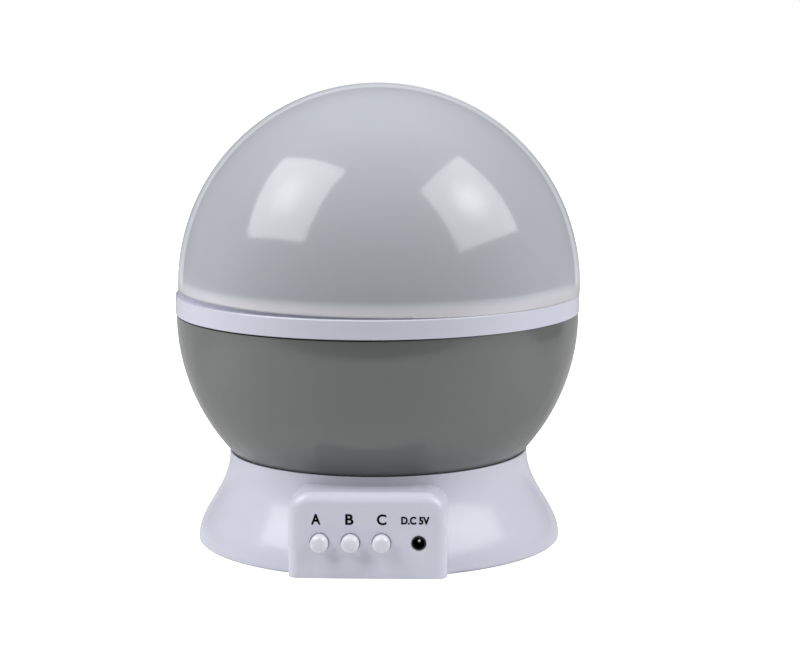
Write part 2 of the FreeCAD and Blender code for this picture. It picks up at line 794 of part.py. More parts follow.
def motor_leads():
    """Two short wires from the control board to the motor."""
    wires = []
    for i in range(2):
        z = motor_bottom_z + motor_pad_rise + motor_pad[2] / 2 + (i - 0.5) * lead_spacing
        x, y = pinion_at.x + motor_pad_shift, pinion_at.y - motor_radius - motor_pad[1]
        run = (y - board_back) * 0.3
        wires.append(lead([(x + lead_swing / 2, board_back, z), (x + lead_swing / 2, board_back + run, z),
                           (x, y - run, z), (x, y, z)], lead_radius))
    return group(wires)


def battery_leads():
    """Two wires from the battery bay to the control board."""
    start = bay_front - bay_wall
    span = start - board_back
    low_z = cell_z - lead_swing
    wires = []
    for i in range(2):
        x = cell_pitch / 2 + i * lead_spacing
        wires.append(lead([(x, start, cell_z), (x, start - span * 0.2, cell_z),
                           (x + lead_swing, start - span * 0.5, (cell_z + low_z) / 2),
                           (x, board_back + span * 0.2, low_z), (x, board_back, low_z)], lead_radius))
    return group(wires)


# ---- Drive --------------------------------------------------------------------------------------

def gear_outline(teeth):
    """A closed wire with involute flanks, one tooth centred on +X."""
    pitch = gear_module * teeth / 2
    base = pitch * math.cos(math.radians(pressure_angle))
    tip, root = pitch + gear_module, pitch - 1.25 * gear_module
    lean = math.tan(math.radians(pressure_angle)) - math.radians(pressure_angle)
    half_tooth = math.pi / (2 * teeth) + lean - tooth_thinning / pitch

    def flank(radius):
        """Angle from the tooth's middle to its flank at a radius."""
        roll = math.acos(min(base / radius, 1.0))
        return half_tooth - (math.tan(roll) - roll)

    def at(radius, turn):
        return Vector(radius * math.cos(turn), radius * math.sin(turn), 0)

    low = max(base, root)
    steps = [low + (tip - low) * (k / 4) ** 1.5 for k in range(5)]
    edges = []
    for i in range(teeth):
        middle = 2 * math.pi * i / teeth
        up = [at(r, middle - flank(r)) for r in steps]
        down = [at(r, middle + flank(r)) for r in reversed(steps)]
        for side in (up, down):
            curve = Part.BSplineCurve()
            curve.interpolate(side)
            edges.append(curve.toShape())
        edges.append(Part.Arc(up[-1], at(tip, middle), down[0]).toShape())
        gap_start = middle + flank(low)
        gap_end = middle + 2 * math.pi / teeth - flank(low)
        valley = at(root, (gap_start + gap_end) / 2)
        if low > root:
            edges.append(Part.LineSegment(down[-1], at(root, gap_start)).toShape())
            edges.append(Part.LineSegment(at(root, gap_end), at(low, gap_end)).toShape())
        edges.append(Part.Arc(at(root, gap_start), valley, at(root, gap_end)).toShape())
    return Part.Wire(Part.__sortEdges__(edges))


def toothed(teeth, z0, face):
    solid = Part.Face(gear_outline(teeth)).extrude(Vector(0, 0, face))
    solid.translate(Vector(0, 0, z0))
    return solid


def gear_screw_places():
    return [polar(gear_hole_reach, pinion_angle + 120 * i) for i in range(3)]


def turntable_gear():
    """The large gear under the bowl, with a tooth that points at the pinion."""
    gear = toothed(gear_teeth, gear_bottom_z, gear_face)
    gear.rotate(Vector(), Z, pinion_angle)
    cuts = [cylinder(hub_radius + snug_gap, gear_bottom_z, bowl_floor_z)]
    cuts += [cylinder(gear_hole_radius, gear_bottom_z, bowl_floor_z,
                      polar(gear_hole_reach, pinion_angle + 60 + 120 * i)) for i in range(3)]
    for p in gear_screw_places():
        cuts.append(screw_hole(gear_bottom_z, bowl_floor_z, p))
        cuts.append(cylinder(screw_head_radius + snug_gap, gear_bottom_z, gear_bottom_z + screw_head, p))
    return gear.cut(cuts)


def drive_pinion():
    """The motor's pinion, with a gap that faces the large gear."""
    gear = toothed(pinion_teeth, pinion_z, pinion_face)
    gear.rotate(Vector(), Z, pinion_angle + 180 + 180 / pinion_teeth)
    gear.translate(pinion_at)
    return gear.cut(cylinder(shaft_radius, pinion_z, pinion_z + pinion_face, pinion_at))


def gear_screws():
    return group(screw(gear_bottom_z + screw_head, p) for p in gear_screw_places())


def hub_bush():
    return tube(bush_radius, bush_bore, washer_top_z, hub_top_z)


# ---- Globe --------------------------------------------------------------------------------------

def tie_places():
    """Where plate, ring and bowl are screwed together."""
    return [polar(tie_reach, 45 + 90 * i) for i in range(4)]


def gussets():
    """Triangular ribs on the bowl's floor that brace its hub."""
    floor_z = bowl_floor_z + bowl_floor
    low, inner = floor_z - bowl_floor / 2, bush_radius + snug_gap
    foot, knee = Vector(hub_radius + gusset_reach, 0, floor_z), Vector(hub_radius, 0, floor_z + gusset_height)
    outline = [Vector(inner, 0, low), Vector(foot.x, 0, low), foot, knee, Vector(inner, 0, knee.z)]
    rib = Part.Face(Part.makePolygon(outline + outline[:1])).extrude(Vector(0, gusset_thickness, 0))
    rib.translate(Vector(0, -gusset_thickness / 2, 0))
    return [rib.rotated(Vector(), Z, pinion_angle + 360 / gusset_count * i) for i in range(gusset_count)]


def lower_bowl():
    outer = below(above(ball(bowl_radius, bowl_centre_z), bowl_floor_z), bowl_top_z)
    inner = below(above(ball(bowl_radius - bowl_wall, bowl_centre_z), bowl_floor_z + bowl_floor), bowl_top_z)
    bowl = outer.cut(inner)
    hub = cylinder(hub_radius, washer_top_z, hub_top_z)
    ties = [cylinder(boss_radius, bowl_floor_z, flange_bottom_z, p) for p in tie_places()]
    skin = ball(bowl_radius - bowl_wall / 2, bowl_centre_z)
    ties = [t.common(skin) for t in ties]
    stud_hole_z = gear_bottom_z + screw_head + screw_bite
    studs = [cylinder(boss_radius, bowl_floor_z, stud_hole_z + stud_cap, p) for p in gear_screw_places()]
    cuts = [cylinder(bush_radius, washer_top_z, hub_top_z)]
    cuts += [screw_hole(flange_bottom_z - screw_bite, flange_bottom_z, p) for p in tie_places()]
    cuts += [screw_hole(bowl_floor_z, stud_hole_z, p) for p in gear_screw_places()]
    return bowl.fuse([hub] + ties + studs + gussets()).cut(cuts).removeSplitter()


def middle_ring():
    """Band, dome seat, upstanding collar, inner flange and the spigot that enters the bowl."""
    spigot_radius = bowl_radius - bowl_wall - seat_gap
    top = ring_radius - ring_round
    corner = Part.Arc(Vector(ring_radius, 0, seat_z - ring_round),
                      Vector(ring_radius - ring_round * (1 - math.sqrt(0.5)), 0,
                             seat_z - ring_round * (1 - math.sqrt(0.5))),
                      Vector(top, 0, seat_z)).toShape()
    spigot_z = ring_bottom_z - spigot_depth
    outline = lines([(top, seat_z), (collar_radius, seat_z), (collar_radius, collar_top_z),
                     (collar_bore, collar_top_z), (collar_bore, flange_top_z), (flange_bore, flange_top_z),
                     (flange_bore, flange_bottom_z), (collar_bore, flange_bottom_z), (collar_bore, spigot_z),
                     (spigot_radius, spigot_z), (spigot_radius, ring_bottom_z), (ring_radius, ring_bottom_z),
                     (ring_radius, seat_z - ring_round)])
    ring = revolve([corner] + outline)
    nibs = []
    for angle in nib_angles:
        nib = block(collar_radius - collar_wall / 2, collar_radius + nib_proud, -nib_width / 2, nib_width / 2,
                    collar_top_z - nib_height - nib_margin, collar_top_z - nib_margin)
        tip = [e for e in nib.Edges
               if e.BoundBox.XMin > collar_radius + nib_proud - 1e-6 and e.BoundBox.ZLength > nib_height / 2]
        nib = nib.makeFillet(nib_width * 0.3, tip)
        nib.rotate(Vector(), Z, angle)
        nibs.append(nib)
    holes = [screw_hole(flange_bottom_z, flange_top_z, p) for p in tie_places()]
    return ring.fuse(nibs).cut(holes).removeSplitter()


def milky_dome():
    """The outer dome, with three open grooves inside its edge for the collar's nibs."""
    shell = above(ball(dome_radius, dome_centre_z), seat_z).cut(ball(dome_radius - dome_wall, dome_centre_z))
    grooves = []
    for angle in nib_angles:
        groove = block(collar_radius, collar_radius + nib_proud + slip_gap, -nib_width / 2 - slip_gap,
                       nib_width / 2 + slip_gap, seat_z, collar_top_z + slip_gap)
        groove.rotate(Vector(), Z, angle)
        grooves.append(groove)
    return shell.cut(grooves)


def star_outline(radius):
    points = []
    for k in range(2 * star_points):
        reach = radius if k % 2 == 0 else radius * star_waist
        turn = math.pi * k / star_points
        points.append(Vector(reach * math.cos(turn), reach * math.sin(turn), 0))
    return Part.Face(Part.makePolygon(points + points[:1]))


def moon_outline(radius):
    disc = Part.Face(Part.Wire(Part.makeCircle(radius)))
    bite = Part.Face(Part.Wire(Part.makeCircle(radius * 0.86, Vector(radius * moon_bite, 0, 0))))
    return disc.cut(bite).Faces[0]


def cutouts():
    """Stars and crescents, spread over the mask by the golden angle, each a prism along its own radius."""
    first, last = math.cos(math.radians(cutout_top)), math.cos(math.radians(cutout_bottom))
    prisms = []
    for i in range(cutout_count):
        polar_angle = math.degrees(math.acos(first + (last - first) * i / (cutout_count - 1)))
        around = golden_angle * i
        if i % moon_every == moon_every // 2:
            face = moon_outline(moon_radius)
        else:
            face = star_outline(star_sizes[i % len(star_sizes)])
        prism = face.extrude(Vector(0, 0, 3 * mask_wall))
        prism.rotate(Vector(), Z, 47 * i)
        prism.translate(Vector(0, 0, mask_radius - 2 * mask_wall))
        prism.rotate(Vector(), Y, polar_angle)
        prism.rotate(Vector(), Z, around)
        prism.translate(Vector(0, 0, mask_centre_z))
        prisms.append(prism)
    return prisms


def star_mask():
    """The dark inner dome that throws the stars, with a skirt that drops inside the collar."""
    skirt_radius = collar_bore - slip_gap
    shell = above(ball(mask_radius, mask_centre_z), collar_top_z)
    shell = shell.fuse(cylinder(skirt_radius, collar_top_z - mask_skirt, collar_top_z))
    shoulder_z = collar_top_z + mask_wall
    hollow = above(ball(mask_radius - mask_wall, mask_centre_z), shoulder_z)
    bore = cylinder(skirt_radius - mask_skirt_wall, collar_top_z - mask_skirt, shoulder_z)
    return shell.cut([hollow, bore] + cutouts()).removeSplitter()


def reflector_plate():
    disc = cylinder(collar_bore - slip_gap, flange_top_z, plate_top_z)
    lip = cylinder(plate_mouth + plate_lip, flange_top_z, plate_top_z + plate_lip_height)
    cuts = [cylinder(plate_mouth, flange_top_z, plate_top_z + plate_lip_height)]
    cuts += [screw_hole(flange_top_z, plate_top_z, p) for p in tie_places()]
    return disc.fuse(lip).cut(cuts)


def globe_screws():
    return group(screw(plate_top_z, p, up=False) for p in tie_places())


# ---- All the nodes ------------------------------------------------------------------------------

def nodes():
    made = {
        "base_shell": base_shell(), "bottom_cover": bottom_cover(), "battery_door": battery_door(),
        "rubber_feet": rubber_feet(), "cover_screws": cover_screws(), "retaining_clip": retaining_clip(),
        "thrust_washer": thrust_washer(), "lamp_post": lamp_post(), "control_board": control_board(),
        "control_chip": control_chip(), "dc_jack": dc_jack(), "dc_jack_pin": dc_jack_pin(),
        "battery_springs": battery_springs(), "battery_contacts": battery_contacts(),
        "gear_motor": gear_motor(), "motor_screws": motor_screws(), "motor_shaft": motor_shaft(),
        "led_board": led_board(), "led_bezel": led_bezel(), "led_leads": led_leads(),
        "motor_leads": motor_leads(), "battery_leads": battery_leads(), "turntable_gear": turntable_gear(),
        "drive_pinion": drive_pinion(), "gear_screws": gear_screws(), "hub_bush": hub_bush(),
        "lower_bowl": lower_bowl(), "middle_ring": middle_ring(), "milky_dome": milky_dome(),
        "star_mask": star_mask(), "reflector_plate": reflector_plate(), "globe_screws": globe_screws(),
    }
    for letter, x in zip("abc", button_places()):
        made[f"push_switch_{letter}"] = push_switch(x)
        made[f"button_cap_{letter}"] = button_cap(x)
        made[f"switch_plunger_{letter}"] = switch_plunger(x)
    for i, (x, sign) in enumerate(cell_places(), 1):
        made[f"aaa_cell_{i}"] = aaa_cell(x, sign)
    for name, at in zip(("white", "red", "green", "blue", "amber"), led_places()):
        made[f"led_{name}"] = led(at)
    return made


if __name__ == "__main__":
    os.makedirs("parts", exist_ok=True)
    for name, shape in nodes().items():
        solids = shape.Solids
        bad = [s for s in solids if not s.isValid() or s.Volume <= 0]
        if not solids or bad:
            raise RuntimeError(f"{name}: {len(solids)} solids, {len(bad)} of them not sound")
        shape.exportStep(f"parts/{name}.step")
        print(f"{name:18s} {len(solids)} solids {shape.Volume:10.1f} mm3")
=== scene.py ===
import json
import math

import bmesh
import bpy
from mathutils import Matrix, Vector


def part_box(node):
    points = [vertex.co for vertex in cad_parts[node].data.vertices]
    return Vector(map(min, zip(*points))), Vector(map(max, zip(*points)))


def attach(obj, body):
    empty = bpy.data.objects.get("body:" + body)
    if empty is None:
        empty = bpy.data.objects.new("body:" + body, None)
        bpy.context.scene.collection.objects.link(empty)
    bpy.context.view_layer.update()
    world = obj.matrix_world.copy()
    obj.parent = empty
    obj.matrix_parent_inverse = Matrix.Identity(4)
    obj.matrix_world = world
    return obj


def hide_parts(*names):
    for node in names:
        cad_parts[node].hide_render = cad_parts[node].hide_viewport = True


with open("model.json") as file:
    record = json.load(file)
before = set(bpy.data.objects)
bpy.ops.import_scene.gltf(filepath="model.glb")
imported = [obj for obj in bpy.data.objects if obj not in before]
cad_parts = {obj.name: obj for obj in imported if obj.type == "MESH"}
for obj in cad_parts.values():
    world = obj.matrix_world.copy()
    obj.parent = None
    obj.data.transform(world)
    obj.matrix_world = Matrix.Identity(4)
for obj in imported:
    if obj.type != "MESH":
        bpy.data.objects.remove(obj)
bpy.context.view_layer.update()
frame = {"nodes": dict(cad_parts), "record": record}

# A rotating star projector night light: finishes for its solids, the thin trim and print that
# they leave out, and the studio round it.

# ---- Sizes, in metres --------------------------------------------------------------------------

MM = 0.001

DOME_WALL = 1.6 * MM
DOME_SHIFT = 0.5 * MM         # the milky dome sits a little to the right of the ring
DOME_LIFT = 0.61 * MM         # and its edge is lifted on the left, by this much at the axis
DOME_LIFT_ANGLE = 1.0         # degrees
DOME_SEGMENTS = 192           # round the dome
DOME_RINGS = 112              # and from pole to pole of its sphere

BOWL_WALL = 2.0 * MM
SEAM_GAP = 0.4 * MM           # between the solids of bowl and ring
RING_TRIM = 0.15 * MM         # and this much more, as the ring's band is trimmed
SHADE_BAND_INSET = 1.04 * MM      # from the bowl's outside to the outside of the black band in the seam, which is painted shade
SHADE_BAND_ASIDE = -0.94 * MM     # and to the left, so the painted shade in the seam is darkest there and fades to the right
LIP_THICKNESS = 0.8 * MM
LIP_RISE_ANGLE = 0.6          # degrees that the lip rises to the right, where it closes the seam
SEAM_SEGMENTS = 192
EDGE_ANGLE = 40               # degrees from which an edge is shaded sharp

NOSE_RADIUS = 2.02 * MM       # of the power socket's front end
NOSE_BORE = 1.8 * MM
NOSE_SEGMENTS = 64

PRINT_THICKNESS = 0.03 * MM
PRINT_BOLD = 0.035 * MM       # the letters are printed twice, this far to each side
LETTERS = (("a", 2.75 * MM, -1.0 * MM),    # button, width, and how far the letter is beside it
           ("b", 2.35 * MM, -0.25 * MM),
           ("c", 2.75 * MM, 0.1 * MM))
LETTER_HEIGHT = 3.2 * MM
LETTER_RISE = 6.95 * MM       # from the middle of the button to the middle of its letter
LETTER_STROKE = 0.024         # how much the font's strokes are widened, in its own units
VOLTAGE_SIZE = (8.25 * MM, 2.4 * MM)
VOLTAGE_ASIDE = -0.95 * MM    # from the middle of the socket
VOLTAGE_RISE = 6.75 * MM
VOLTAGE_STROKE = 0.04

CUT_TOLERANCE = 1e-7          # within this of a cutting plane, a vertex lies on it
MERGE_REACH = 1e-7            # vertices nearer than this become one
SAME_HEIGHT = 0.001 * MM      # vertices of one edge of the bowl
SAME_EDGE = 0.01 * MM         # vertices of the ring's lower edge

dome_low, dome_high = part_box("milky_dome")
DOME_RADIUS = (dome_high.x - dome_low.x) / 2
dome_centre = Vector((DOME_SHIFT, 0, dome_high.z - DOME_RADIUS))
seat_z = dome_low.z
panel_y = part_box("base_shell")[0].y     # front face of the control box


# ---- Mesh tools --------------------------------------------------------------------------------

def new_object(name, data):
    """An object at the origin, in the scene."""
    made = bpy.data.objects.new(name, data)
    bpy.context.scene.collection.objects.link(made)
    return made


def middle_of(node):
    """The middle of a CAD node's box."""
    low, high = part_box(node)
    return (low + high) / 2


def verts_of(result):
    """The vertices among what an operator made."""
    return [made for made in result["geom"] if isinstance(made, bmesh.types.BMVert)]


def cut(bm, place, normal, **side):
    """Cuts a bmesh along a plane, clears one side of it and gives the edges that this opens."""
    bmesh.ops.bisect_plane(bm, geom=bm.verts[:] + bm.edges[:] + bm.faces[:], dist=CUT_TOLERANCE,
                           plane_co=place, plane_no=normal, **side)
    return [edge for edge in bm.edges if edge.is_boundary]


def flat_ring(inner, outer, segments, aside=0):
    """A flat ring in a new bmesh, whose outside may be pushed aside against its bore."""
    bm = bmesh.new()
    bmesh.ops.create_circle(bm, segments=segments, radius=inner)
    outside = bmesh.ops.create_circle(bm, segments=segments, radius=outer)["verts"]
    bmesh.ops.translate(bm, verts=outside, vec=(aside, 0, 0))
    bmesh.ops.bridge_loops(bm, edges=bm.edges[:])
    return bm


def washer(inner, outer, aside, height, base_z):
    """A flat ring with a thickness, from base_z up."""
    bm = flat_ring(inner, outer, SEAM_SEGMENTS, aside)
    raised = verts_of(bmesh.ops.extrude_face_region(bm, geom=bm.faces[:]))
    bmesh.ops.translate(bm, verts=raised, vec=(0, 0, height))
    bmesh.ops.translate(bm, verts=bm.verts, vec=(0, 0, base_z))
    bmesh.ops.recalc_face_normals(bm, faces=bm.faces)
    return bm


def finish_mesh(name, bm, material, body):
    """Turns a bmesh into a smooth piece at the origin that rides on a body."""
    mesh = bpy.data.meshes.new(name)
    bm.to_mesh(mesh)
    bm.free()
    mesh.materials.append(material)
    for face in mesh.polygons:
        face.use_smooth = True
    piece = new_object(name, mesh)
    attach(piece, body)
    return piece


def keep_edges(piece):
    """Shades a piece smooth on its curved faces and sharp at its edges."""
    piece.data.set_sharp_from_angle(angle=math.radians(EDGE_ANGLE))


def keep_flats(piece):
    """Shades a piece made from a solid's mesh as the solid, flat up to its rounded edges."""
    loose = piece.data.attributes.get("custom_normal")      # fitted the unmerged triangles
    if loose:
        piece.data.attributes.remove(loose)
    keep_edges(piece)
    piece.modifiers.new("keep_flats", "WEIGHTED_NORMAL").keep_sharp = True


# ---- Camera ------------------------------------------------------------------------------------

CAMERA_SENSOR = 36.0          # millimetres wide
CAMERA_LENS = 113.9           # millimetres
CAMERA_CLIP = (0.05, 20.0)
CAMERA_PLACE = Vector((48.1, -773.5, 184.7)) * MM
CAMERA_HEADING = 3.05         # degrees to the left of straight back
CAMERA_DIP = 8.777            # degrees below level
CAMERA_ROLL = -0.252


def make_camera():
    """The view from the front, a little from the right and above."""
    data = bpy.data.cameras.new("camera")
    data.sensor_width = CAMERA_SENSOR
    data.lens = CAMERA_LENS
    data.clip_start, data.clip_end = CAMERA_CLIP
    camera = new_object("camera", data)
    turn = Matrix.Identity(4)
    for angle, axis in ((CAMERA_HEADING, "Z"), (90 - CAMERA_DIP, "X"), (CAMERA_ROLL, "Z")):
        turn = turn @ Matrix.Rotation(math.radians(angle), 4, axis)
    camera.matrix_world = Matrix.Translation(CAMERA_PLACE) @ turn
    bpy.context.scene.camera = camera


# ---- Node tools --------------------------------------------------------------------------------

class Tree:
    """A short way to add shader nodes, where a source is a socket or a plain value."""

    def __init__(self, tree):
        self.tree = tree

    def join(self, source, target):
        """Leads a socket to another one, or sets a value there."""
        if isinstance(source, bpy.types.NodeSocket):
            self.tree.links.new(source, target)
        else:
            target.default_value = source

    def add(self, kind, sources=None, **settings):
        """A new node, with a source for each socket that is given by its name or number."""
        node = self.tree.nodes.new(kind)
        for name, value in settings.items():
            setattr(node, name, value)
        for name, source in (sources or {}).items():
            self.join(source, node.inputs[name])
        return node

    def math(self, operation, *sources):
        """A number worked out from others."""
        return self.add("ShaderNodeMath", dict(enumerate(sources)), operation=operation).outputs[0]

    def measure(self, operation, vector, other=(0, 0, 0)):
        """A number measured on a vector, or between two."""
        node = self.add("ShaderNodeVectorMath", {0: vector, 1: other}, operation=operation)
        return node.outputs["Value"]

    def fade(self, source, start, end, start_value=0.0, end_value=1.0):
        """A value that eases from one level to another while its source goes from start to end."""
        levels = {"Value": source, "From Min": start, "From Max": end,
                  "To Min": start_value, "To Max": end_value}
        return self.add("ShaderNodeMapRange", levels, interpolation_type="SMOOTHSTEP").outputs[0]

    def choose(self, switch, without, given, kind="FLOAT"):
        """One value where the switch is 0 and the other where it is 1."""
        sources = {"Factor": switch, "A": without, "B": given}
        return self.add("ShaderNodeMix", sources, data_type=kind).outputs["Result"]


def new_material(name):
    """An empty material, the tools for its nodes, and the socket that its shader goes to."""
    material = bpy.data.materials.new(name)
    material.use_nodes = True
    material.node_tree.nodes.clear()
    tree = Tree(material.node_tree)
    return material, tree, tree.add("ShaderNodeOutputMaterial").inputs["Surface"]


# ---- Materials ---------------------------------------------------------------------------------

FLOW_SCALE = 28.0             # patches of flow tone per metre
FLOW_DETAIL = 3.0
GRAIN_SCALE = 900.0           # dimples of the orange peel per metre
GRAIN_DETAIL = 4.0
PEEL_DEPTH = 0.4 * MM         # at a strength of 1

NEAR_EDGE_COVER = 0.90        # how much the milky dome hides in the pale band along its edge
NEAR_EDGE_SHADE = 0.45        # how much of a lamp's light it stops there
NEAR_EDGE_LIT_TINT = (0.627, 0.618, 0.657)      # and its colour there, paler: painted light from the white ring under it
NEAR_LIMB_SHADE_TINT = (0.575, 0.567, 0.603)      # and a darker one where that is seen at a slant: painted shade
NEAR_LIMB_FADE = (0.40, 0.72)               # the slants between which it turns to that
NEAR_EDGE_UP = (0.006, 0, 1)  # heights are measured along this, so the band is wider on the left
NEAR_EDGE_FADE = (1.9 * MM, 5.7 * MM)       # the heights over the seat between which it ends
COVER_FADE = (0.05, 0.45)     # the slants between which the cover grows elsewhere
LIMB_STEP = 0.06              # and how soon it jumps up at the outline


def moulded_surface_group():
    """Flow tone, polish variation and faint orange peel of a moulded plastic skin."""
    group = bpy.data.node_groups.new("moulded_surface", "ShaderNodeTree")
    for name, way, kind in (("Color", "INPUT", "Color"), ("Tone", "INPUT", "Float"),
                            ("Roughness", "INPUT", "Float"), ("Haze", "INPUT", "Float"),
                            ("Peel", "INPUT", "Float"), ("Color", "OUTPUT", "Color"),
                            ("Roughness", "OUTPUT", "Float"), ("Normal", "OUTPUT", "Vector")):
        group.interface.new_socket(name, in_out=way, socket_type="NodeSocket" + kind)
    tree = Tree(group)
    given = tree.add("NodeGroupInput").outputs
    place = tree.add("ShaderNodeTexCoord").outputs["Object"]

    flow = tree.add("ShaderNodeTexNoise",
                    {"Vector": place, "Scale": FLOW_SCALE, "Detail": FLOW_DETAIL})
    swing = tree.add("ShaderNodeMapRange",
                     {"Value": flow.outputs["Fac"], "To Min": -1.0, "To Max": 1.0})
    level = tree.math("MULTIPLY_ADD", swing.outputs["Result"], given["Tone"], 1.0)
    tint = tree.add("ShaderNodeVectorMath", {0: given["Color"], "Scale": level},
                    operation="SCALE")

    grain = tree.add("ShaderNodeTexNoise",
                     {"Vector": place, "Scale": GRAIN_SCALE, "Detail": GRAIN_DETAIL})
    haze = tree.math("MULTIPLY_ADD", grain.outputs["Fac"], given["Haze"], given["Roughness"])
    bump = tree.add("ShaderNodeBump", {"Height": grain.outputs["Fac"], "Distance": PEEL_DEPTH,
                                       "Strength": given["Peel"]})
    tree.add("NodeGroupOutput", {"Color": tint.outputs[0], "Roughness": haze,
                                 "Normal": bump.outputs["Normal"]})


def moulded(name, color, roughness, tone=0.02, haze=0.05, peel=0.02, **sockets):
    """A moulded plastic: Principled BSDF on the moulded_surface group."""
    material, tree, surface = new_material(name)
    skin = tree.add("ShaderNodeGroup", {"Color": (*color, 1), "Tone": tone, "Haze": haze,
                                        "Roughness": roughness, "Peel": peel},
                    node_tree=bpy.data.node_groups["moulded_surface"])
    shader = tree.add("ShaderNodeBsdfPrincipled")
    for socket, output in (("Base Color", "Color"), ("Roughness", "Roughness"),
                           ("Normal", "Normal")):
        tree.join(skin.outputs[output], shader.inputs[socket])
    for socket, value in sockets.items():
        shader.inputs[socket.replace("_", " ")].default_value = value
    tree.join(shader.outputs["BSDF"], surface)
    return material


def milky(name, color, roughness, front, slanted, limb, limb_start, **sockets):
    """Opal plastic: its cover grows with the slant it is seen at, and jumps up at its outline.

    A band along its edge hides more; its colour there is painted light from the white ring under
    it, painted darker where it is seen at a slant.
    """
    material = moulded(name, color, roughness, tone=0.012, haze=0.03, peel=0.008, **sockets)
    tree = Tree(material.node_tree)
    nodes = material.node_tree.nodes
    shader = next(node for node in nodes if node.type == "BSDF_PRINCIPLED").inputs
    facing = tree.add("ShaderNodeLayerWeight", {"Blend": 0.5}).outputs["Facing"]
    place = tree.add("ShaderNodeTexCoord").outputs["Object"]
    shadow_ray = tree.add("ShaderNodeLightPath").outputs["Is Shadow Ray"]

    near_edge = tree.fade(tree.measure("DOT_PRODUCT", place, NEAR_EDGE_UP),
                          *(seat_z + reach for reach in NEAR_EDGE_FADE), 1.0, 0.0)
    cover = tree.choose(tree.fade(facing, limb_start, limb_start + LIMB_STEP),
                        tree.fade(facing, *COVER_FADE, front, slanted), limb)
    near_cover = tree.choose(shadow_ray, NEAR_EDGE_COVER, NEAR_EDGE_SHADE)
    tree.join(tree.choose(near_edge, cover, near_cover), shader["Alpha"])

    # Painted light along the edge band, with painted shade where the band is seen at a slant
    painted_edge_light = tree.choose(tree.fade(facing, *NEAR_LIMB_FADE),
                            (*NEAR_EDGE_LIT_TINT, 1), (*NEAR_LIMB_SHADE_TINT, 1), "RGBA")
    tint = tree.choose(near_edge, shader["Base Color"].links[0].from_socket, painted_edge_light, "RGBA")
    tree.join(tint, shader["Base Color"])
    return material


def make_finishes():
    """Every finish of the object, by name: its colour, its roughness and what else it needs."""
    moulded_surface_group()
    metal = {"Metallic": 1.0}
    finishes = {}
    for make, name, color, roughness, more in (
            (moulded, "white_shell", (0.572, 0.572, 0.664), 0.16, {"Specular_IOR_Level": 0.3}),
            (moulded, "white_ring", (0.588, 0.588, 0.683), 0.16, {"Specular_IOR_Level": 0.35}),
            (moulded, "button_caps", (0.62, 0.62, 0.69), 0.14, {}),
            (moulded, "grey_bowl", (0.124, 0.130, 0.1275), 0.14, {}),
            (milky, "milky_dome", (0.72, 0.755, 0.81), 0.09,
             {"front": 0.49, "slanted": 0.55, "limb": 0.93, "limb_start": 0.755,
              "Specular_IOR_Level": 0.8}),
            # The dome's inner face is painted dark grey: painted shade inside the dome, where the
            # mask and the ring shadow it
            (milky, "milky_dome_inside", (0.12, 0.125, 0.135), 0.3,
             {"front": 0.10, "slanted": 0.12, "limb": 0.80, "limb_start": 0.57}),
            (moulded, "dark_mask", (0.02, 0.02, 0.022), 0.55, {"peel": 0.05}),
            (moulded, "inner_white", (0.78, 0.78, 0.77), 0.4, {"peel": 0.05}),
            (moulded, "bearing_plastic", (0.62, 0.61, 0.57), 0.4, {"peel": 0.05}),
            (moulded, "gear_plastic", (0.66, 0.65, 0.60), 0.4, {"peel": 0.05}),
            (moulded, "rubber_feet", (0.30, 0.30, 0.31), 0.8, {"peel": 0.2}),
            (moulded, "steel_screws", (0.55, 0.55, 0.56), 0.3, metal),
            (moulded, "spring_steel", (0.50, 0.50, 0.51), 0.25, metal),
            (moulded, "plated_contact", (0.68, 0.68, 0.66), 0.25, metal),
            (moulded, "plated_pin", (0.50, 0.50, 0.49), 0.35, metal),
            (moulded, "motor_can", (0.58, 0.58, 0.58), 0.35, metal),
            (moulded, "cell_can", (0.02, 0.05, 0.18), 0.25, {}),
            (moulded, "circuit_board", (0.02, 0.10, 0.04), 0.35, {}),
            (moulded, "lamp_board", (0.70, 0.70, 0.68), 0.35, {}),
            (moulded, "black_parts", (0.012, 0.012, 0.012), 0.4, {"peel": 0.1}),
            (moulded, "lead_insulation", (0.30, 0.02, 0.02), 0.4, {}),
            (moulded, "lamp_lens", (0.85, 0.85, 0.86), 0.08, {"Alpha": 0.45}),
            (moulded, "print_ink", (0.012, 0.012, 0.014), 0.45, {"peel": 0.1})):
        finishes[name] = make(name, color, roughness, **more)
    return finishes


def dress_nodes(finishes):
    """Every CAD node takes the finish of its own material slot."""
    for entry in frame["record"]["subparts"]:
        node = frame["nodes"][entry["node"]]
        node.data.materials.clear()
        node.data.materials.append(finishes[entry["material_slot"]])


# ---- Milky dome --------------------------------------------------------------------------------

def make_dome(finishes):
    """A thick translucent shell whose edge stands a little off the ring on the left."""
    bm = bmesh.new()
    bmesh.ops.create_uvsphere(bm, u_segments=DOME_SEGMENTS, v_segments=DOME_RINGS,
                              radius=DOME_RADIUS)
    inner = bmesh.ops.create_uvsphere(bm, u_segments=DOME_SEGMENTS, v_segments=DOME_RINGS,
                                      radius=DOME_RADIUS - DOME_WALL)
    inner_faces = list({face for vert in inner["verts"] for face in vert.link_faces})
    bmesh.ops.reverse_faces(bm, faces=inner_faces)
    for face in inner_faces:
        face.material_index = 1     # milky_dome_inside: the inner face painted dark grey, painted shade inside the dome
    bmesh.ops.translate(bm, verts=bm.verts, vec=dome_centre)
    tilt = math.radians(DOME_LIFT_ANGLE)
    cut(bm, Vector((0, 0, seat_z)), Vector((0, 0, 1)), clear_inner=True)
    rims = cut(bm, Vector((0, 0, seat_z + DOME_LIFT)),
               Vector((math.sin(tilt), 0, math.cos(tilt))), clear_inner=True)
    bmesh.ops.bridge_loops(bm, edges=rims)
    piece = finish_mesh("milky_dome_shell", bm, finishes["milky_dome"], "dome")
    piece.data.materials.append(finishes["milky_dome_inside"])
    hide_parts("milky_dome")


# ---- Seam under the ring -----------------------------------------------------------------------

